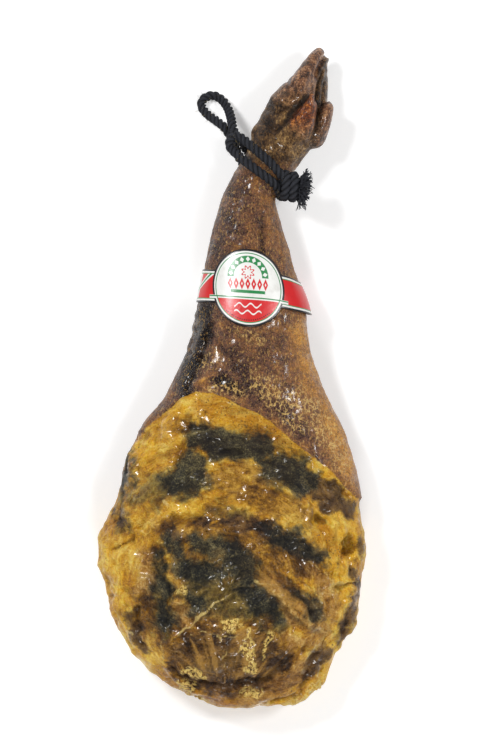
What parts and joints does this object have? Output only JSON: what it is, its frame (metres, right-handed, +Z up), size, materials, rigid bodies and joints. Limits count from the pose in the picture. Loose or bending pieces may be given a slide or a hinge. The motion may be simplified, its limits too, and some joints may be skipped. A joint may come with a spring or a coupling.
{
  "type": "dry-cured pork shoulder",
  "caption": "Dry-cured pork shoulder with trotter, cut face up, with a black hanging rope round the wrist and a round-fronted paper sash round the shank.",
  "frame": {"origin": "centre of the base of the ham's box, on the surface it lies on", "axes": "+Y along the ham from the butt to the hooves, +X to the right seen from above with the hooves at the top, +Z up from the surface through the cut face"},
  "size_m": [0.2603, 0.65, 0.0861],
  "materials": {
    "cured_ham": "glossy, oily, golden fat and brown cured skin with dark mould patches",
    "black_rope": "matt laid rope, slightly hairy",
    "printed_paper": "satin coated paper, red with white and green lines"
  },
  "bodies": {
    "root": {"ham": "cured_ham", "paper_sash": "printed_paper", "rope": "black_rope", "rope_knot": "black_rope", "rope_tuft": "black_rope"}
  },
  "joints": []
}
